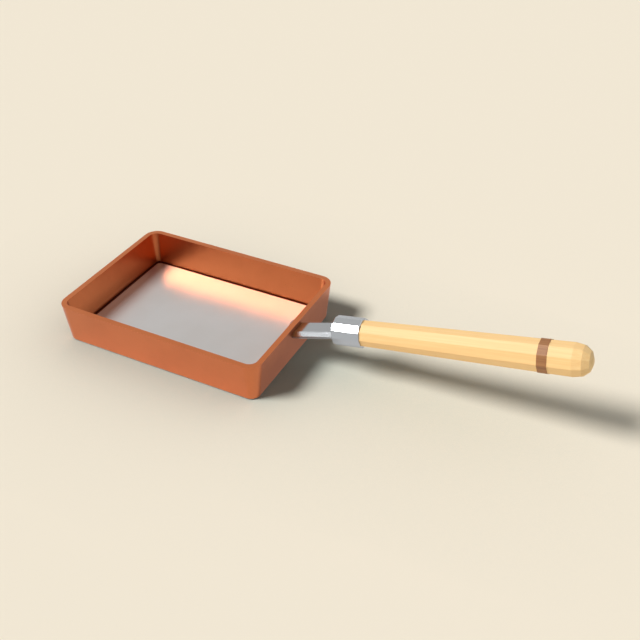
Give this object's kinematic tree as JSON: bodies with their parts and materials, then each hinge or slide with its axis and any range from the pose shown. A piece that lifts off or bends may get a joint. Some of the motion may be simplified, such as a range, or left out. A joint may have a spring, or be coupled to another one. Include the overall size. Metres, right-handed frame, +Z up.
{
  "type": "tamagoyaki pan",
  "caption": "Rectangular rolled-omelette pan with drafted walls, a bright floor plate, a flat chamfered steel neck, a faceted ferrule and a ten-sided wooden handle with a dark band.",
  "frame": {"origin": "centre of the pan's base, on the surface that it stands on", "axes": "+X along the pan towards its handle, +Y across the pan, +Z up out of the pan"},
  "size_m": [0.3965, 0.1304, 0.0824],
  "materials": {
    "copper": "satin",
    "lining": "satin",
    "neck_steel": "satin",
    "ferrule_steel": "satin",
    "pale_wood": "satin",
    "dark_wood": "satin"
  },
  "bodies": {
    "root": {"pan_body": "copper", "lining_plate": "lining", "neck_bar": "neck_steel", "neck_rove": "neck_steel", "ferrule": "ferrule_steel", "ferrule_nail": "ferrule_steel", "handle_grip": "pale_wood", "handle_band": "dark_wood", "handle_butt": "pale_wood", "butt_dowel": "pale_wood"}
  },
  "joints": []
}
